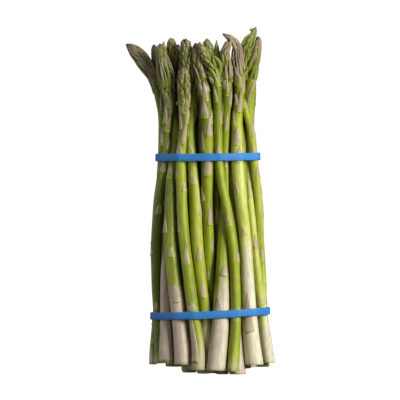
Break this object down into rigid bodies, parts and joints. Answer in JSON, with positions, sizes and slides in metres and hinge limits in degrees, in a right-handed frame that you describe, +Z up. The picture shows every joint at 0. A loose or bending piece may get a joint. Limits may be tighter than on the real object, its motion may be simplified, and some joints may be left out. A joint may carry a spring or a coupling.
{
  "type": "bundle of asparagus",
  "caption": "Tied bunch of fresh green asparagus spears standing on their cut ends, held by two stretched blue rubber bands.",
  "frame": {"origin": "centre of the foot of the bunch's bounding box, on the plane of its lowest cut ends", "axes": "+Z up from the cut ends to the tips, +X across the wide side of the bunch, -Y towards the near side"},
  "size_m": [0.1044, 0.0648, 0.2385],
  "materials": {
    "spear_skin": "waxy satin plant skin, yellow-green, paler towards the cut end",
    "band_rubber": "matte blue rubber"
  },
  "bodies": {
    "root": {"spear_01_bent": "spear_skin", "spear_02": "spear_skin", "spear_03": "spear_skin", "spear_04": "spear_skin", "spear_05_short": "spear_skin", "spear_06": "spear_skin", "spear_07": "spear_skin", "spear_08": "spear_skin", "spear_09_crossing": "spear_skin", "spear_10": "spear_skin", "spear_11": "spear_skin", "spear_12": "spear_skin", "spear_13": "spear_skin", "spear_14": "spear_skin", "spear_15": "spear_skin", "spear_16": "spear_skin", "spear_17": "spear_skin", "spear_18": "spear_skin", "spear_19": "spear_skin", "spear_20": "spear_skin", "spear_21": "spear_skin", "spear_22": "spear_skin", "spear_23": "spear_skin", "spear_24": "spear_skin", "spear_25": "spear_skin", "spear_26": "spear_skin", "spear_27": "spear_skin", "spear_28": "spear_skin", "spear_29": "spear_skin", "spear_30": "spear_skin", "spear_31": "spear_skin", "spear_32": "spear_skin", "spear_33": "spear_skin", "spear_34": "spear_skin", "spear_35": "spear_skin", "spear_36": "spear_skin", "spear_37": "spear_skin", "spear_38": "spear_skin", "spear_39": "spear_skin", "spear_40": "spear_skin", "upper_band": "band_rubber", "lower_band": "band_rubber"}
  },
  "joints": []
}
